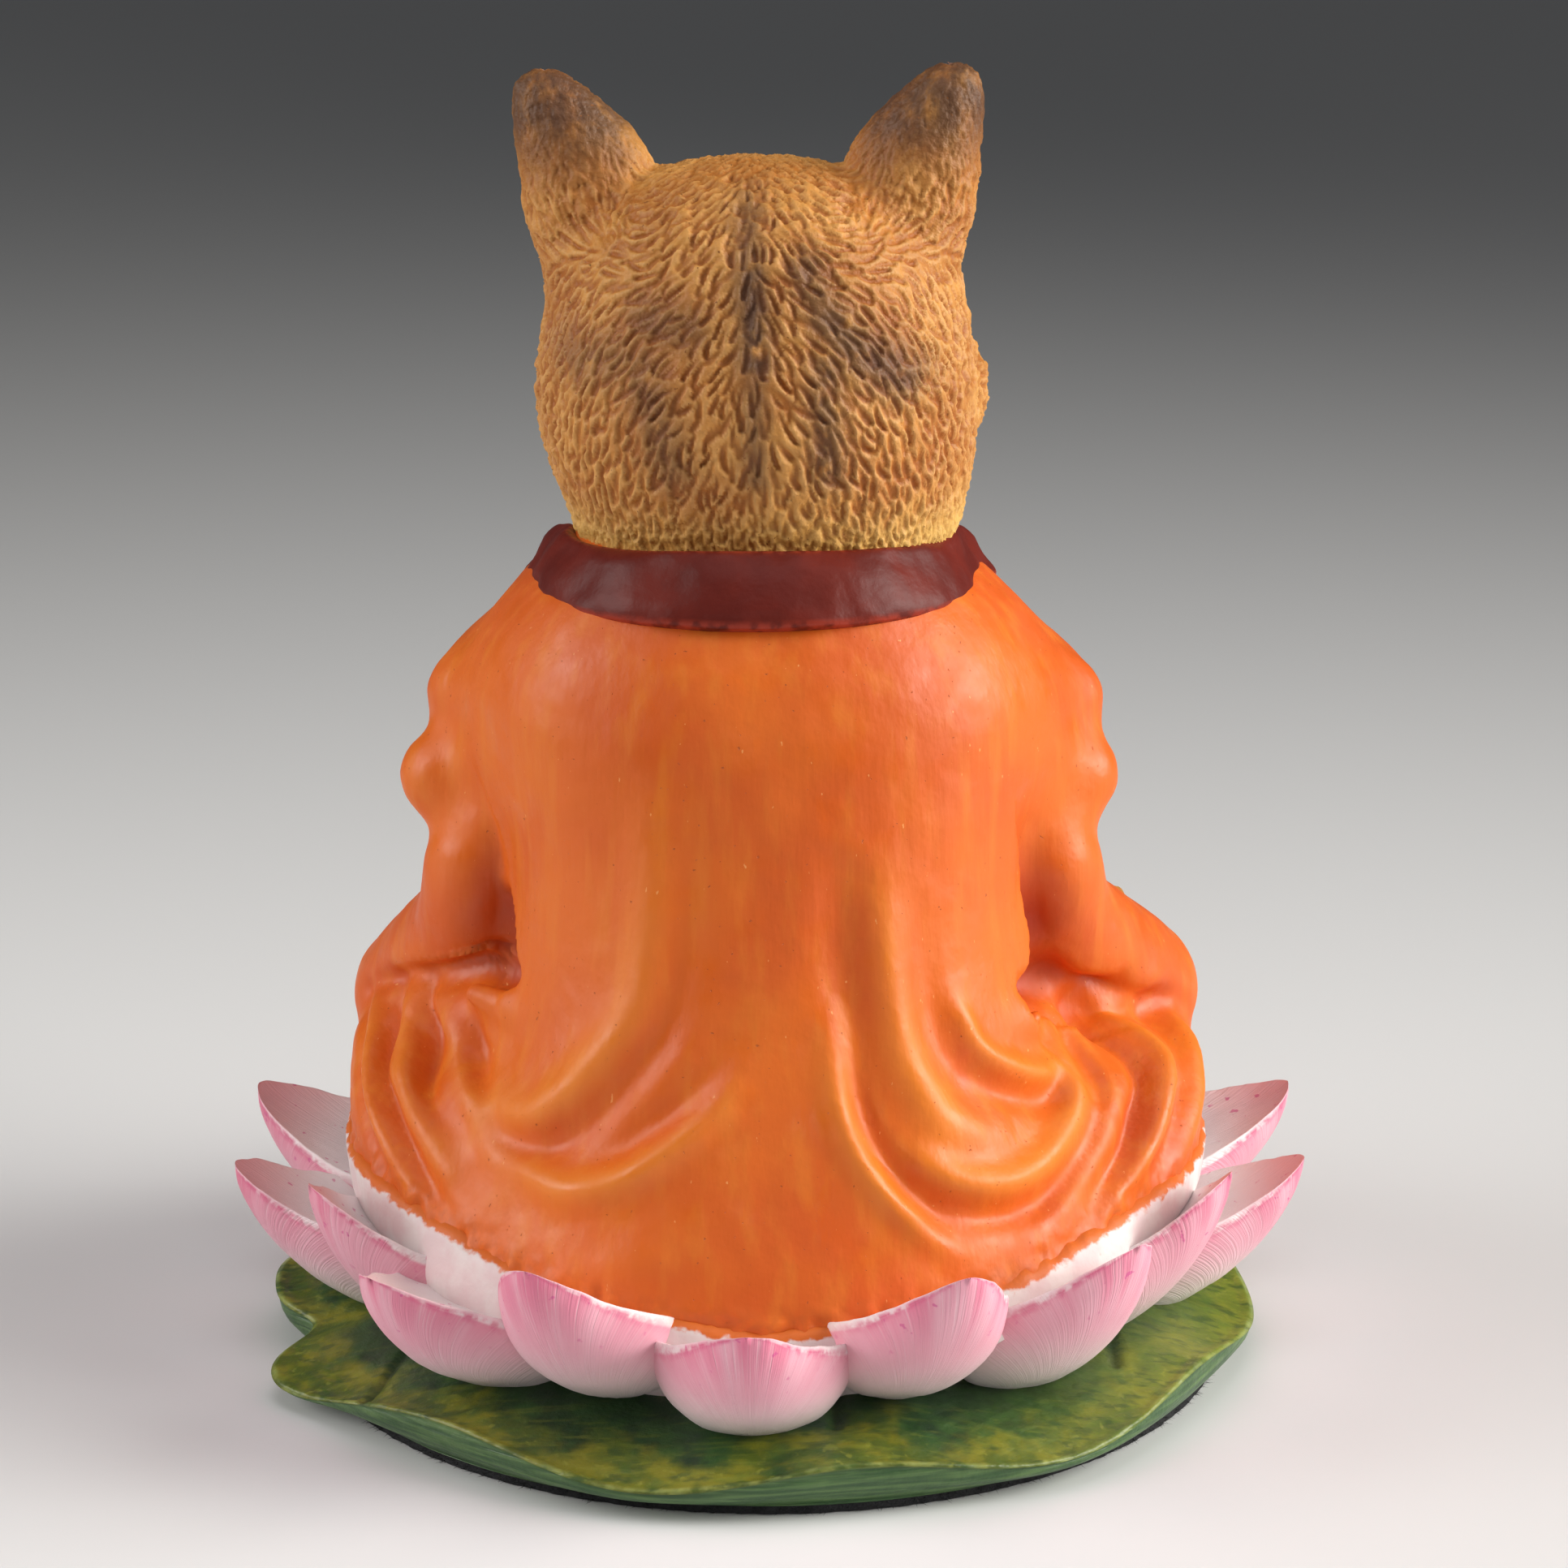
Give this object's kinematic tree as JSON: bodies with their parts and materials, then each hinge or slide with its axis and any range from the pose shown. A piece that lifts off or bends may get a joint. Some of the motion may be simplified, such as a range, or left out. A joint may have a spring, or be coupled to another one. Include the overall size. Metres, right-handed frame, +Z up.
{
  "type": "cat figurine",
  "caption": "Cast figurine of a cat in a draped robe, sitting cross-legged on a lotus over a lily-pad base with a felt pad under it",
  "frame": {"origin": "centre of the felt pad's underside, on the surface the figurine stands on", "axes": "+Z up; the cat faces -Y; +X is towards the cat's left hand"},
  "size_m": [0.1161, 0.1115, 0.1398],
  "materials": {
    "painted_resin": "hand-painted cast resin, satin",
    "felt": "black pressed felt"
  },
  "bodies": {
    "root": {"cat_casting": "painted_resin", "felt_pad": "felt"}
  },
  "joints": []
}
